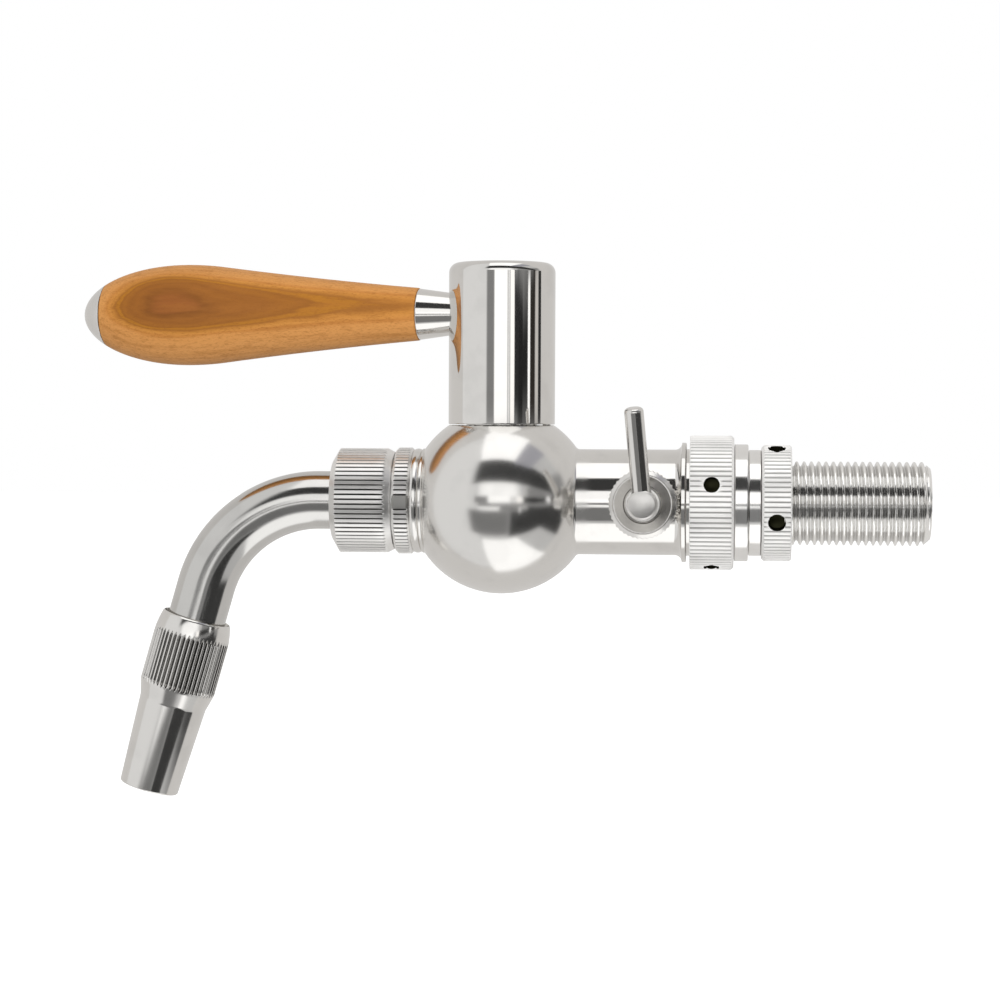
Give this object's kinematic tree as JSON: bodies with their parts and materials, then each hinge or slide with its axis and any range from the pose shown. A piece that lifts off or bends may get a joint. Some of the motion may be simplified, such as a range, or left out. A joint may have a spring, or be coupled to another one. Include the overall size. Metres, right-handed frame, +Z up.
{
  "type": "beer faucet",
  "caption": "Side-pull ball-valve beer faucet with a globe body, wooden handle, bent spout, side flow lever and threaded shank with knurled nuts.",
  "frame": {"origin": "on the shank axis, where the free thread leaves the lock nut", "axes": "+X along the shank towards its free end, +Z up, -Y the side of the flow lever"},
  "size_m": [0.2166, 0.0515, 0.1359],
  "materials": {
    "polished_steel": "polished",
    "satin_steel": "satin",
    "seat_plastic": "matt",
    "seal_rubber": "matt",
    "oiled_wood": "oiled"
  },
  "bodies": {
    "tap_body": {"valve_body": "polished_steel", "front_insert": "satin_steel", "insert_o_ring": "seal_rubber", "front_ball_seat": "seat_plastic", "rear_ball_seat": "seat_plastic", "stem_thrust_washer": "seat_plastic", "stem_upper_washer": "seat_plastic", "stem_gland_nut": "satin_steel", "stop_pin": "satin_steel", "flow_spindle_bush": "satin_steel", "flow_bush_o_ring": "seal_rubber", "flow_cap_nut": "satin_steel", "shank": "satin_steel", "shank_gasket": "seal_rubber", "shank_collar": "satin_steel", "spout_gasket": "seal_rubber"},
    "handle": {"ball": "polished_steel", "stem": "polished_steel", "stem_lower_o_ring": "seal_rubber", "stem_upper_o_ring": "seal_rubber", "hub": "polished_steel", "handle_stud": "satin_steel", "ferrule": "polished_steel", "wood_grip": "oiled_wood", "end_cap": "satin_steel"},
    "flow_lever": {"flow_spindle": "satin_steel", "flow_spindle_o_ring": "seal_rubber", "flow_lever_head": "polished_steel", "flow_lever_rod": "polished_steel"},
    "flow_cone": {"flow_cone": "satin_steel"},
    "spout_nut": {"spout_nut": "satin_steel"},
    "spout": {"spout_tube": "polished_steel", "nozzle_o_ring": "seal_rubber"},
    "nozzle": {"nozzle": "polished_steel", "foam_disc": "satin_steel", "foam_ring": "satin_steel"},
    "coupling_nut": {"coupling_nut": "satin_steel"},
    "wall_washer": {"wall_washer": "satin_steel"},
    "lock_nut": {"lock_nut": "satin_steel"}
  },
  "joints": [
    {"name": "handle_turn", "type": "hinge", "parent": "tap_body", "child": "handle", "pos_m": [-0.0727, 0, 0.0472], "axis": [0, 0, 1], "range_deg": [-84, 6]},
    {"name": "flow_lever_turn", "type": "hinge", "parent": "tap_body", "child": "flow_lever", "pos_m": [-0.0365, -0.0179, 0], "axis": [0, 1, 0], "range_deg": [-60, 60]},
    {"name": "flow_cone_slide", "type": "slide", "parent": "tap_body", "child": "flow_cone", "axis": [1, 0, 0], "range_m": [-0.002, 0.002]},
    {"name": "spout_nut_turn", "type": "hinge", "parent": "tap_body", "child": "spout_nut", "pos_m": [-0.1074, 0, 0], "axis": [1, 0, 0], "continuous": true},
    {"name": "spout_swivel", "type": "hinge", "parent": "tap_body", "child": "spout", "pos_m": [-0.1095, 0, 0], "axis": [1, 0, 0], "range_deg": [-90, 90]},
    {"name": "nozzle_turn", "type": "hinge", "parent": "spout", "child": "nozzle", "pos_m": [-0.15055, 0, -0.03018], "axis": [-0.2756, 0, -0.9613], "continuous": true},
    {"name": "coupling_nut_turn", "type": "hinge", "parent": "tap_body", "child": "coupling_nut", "pos_m": [-0.0197, 0, 0], "axis": [1, 0, 0], "continuous": true},
    {"name": "lock_nut_travel", "type": "slide", "parent": "tap_body", "child": "wall_washer", "axis": [1, 0, 0], "range_m": [0, 0.024]},
    {"name": "lock_nut_turn", "type": "hinge", "parent": "wall_washer", "child": "lock_nut", "pos_m": [-0.0037, 0, 0], "axis": [1, 0, 0], "range_deg": [0, 4764]}
  ],
  "couplings": [
    {"joint": "flow_lever_turn", "follows": "flow_cone_slide", "rad_per_m": 522.47},
    {"joint": "lock_nut_turn", "follows": "lock_nut_travel", "rad_per_m": 3463.7}
  ]
}
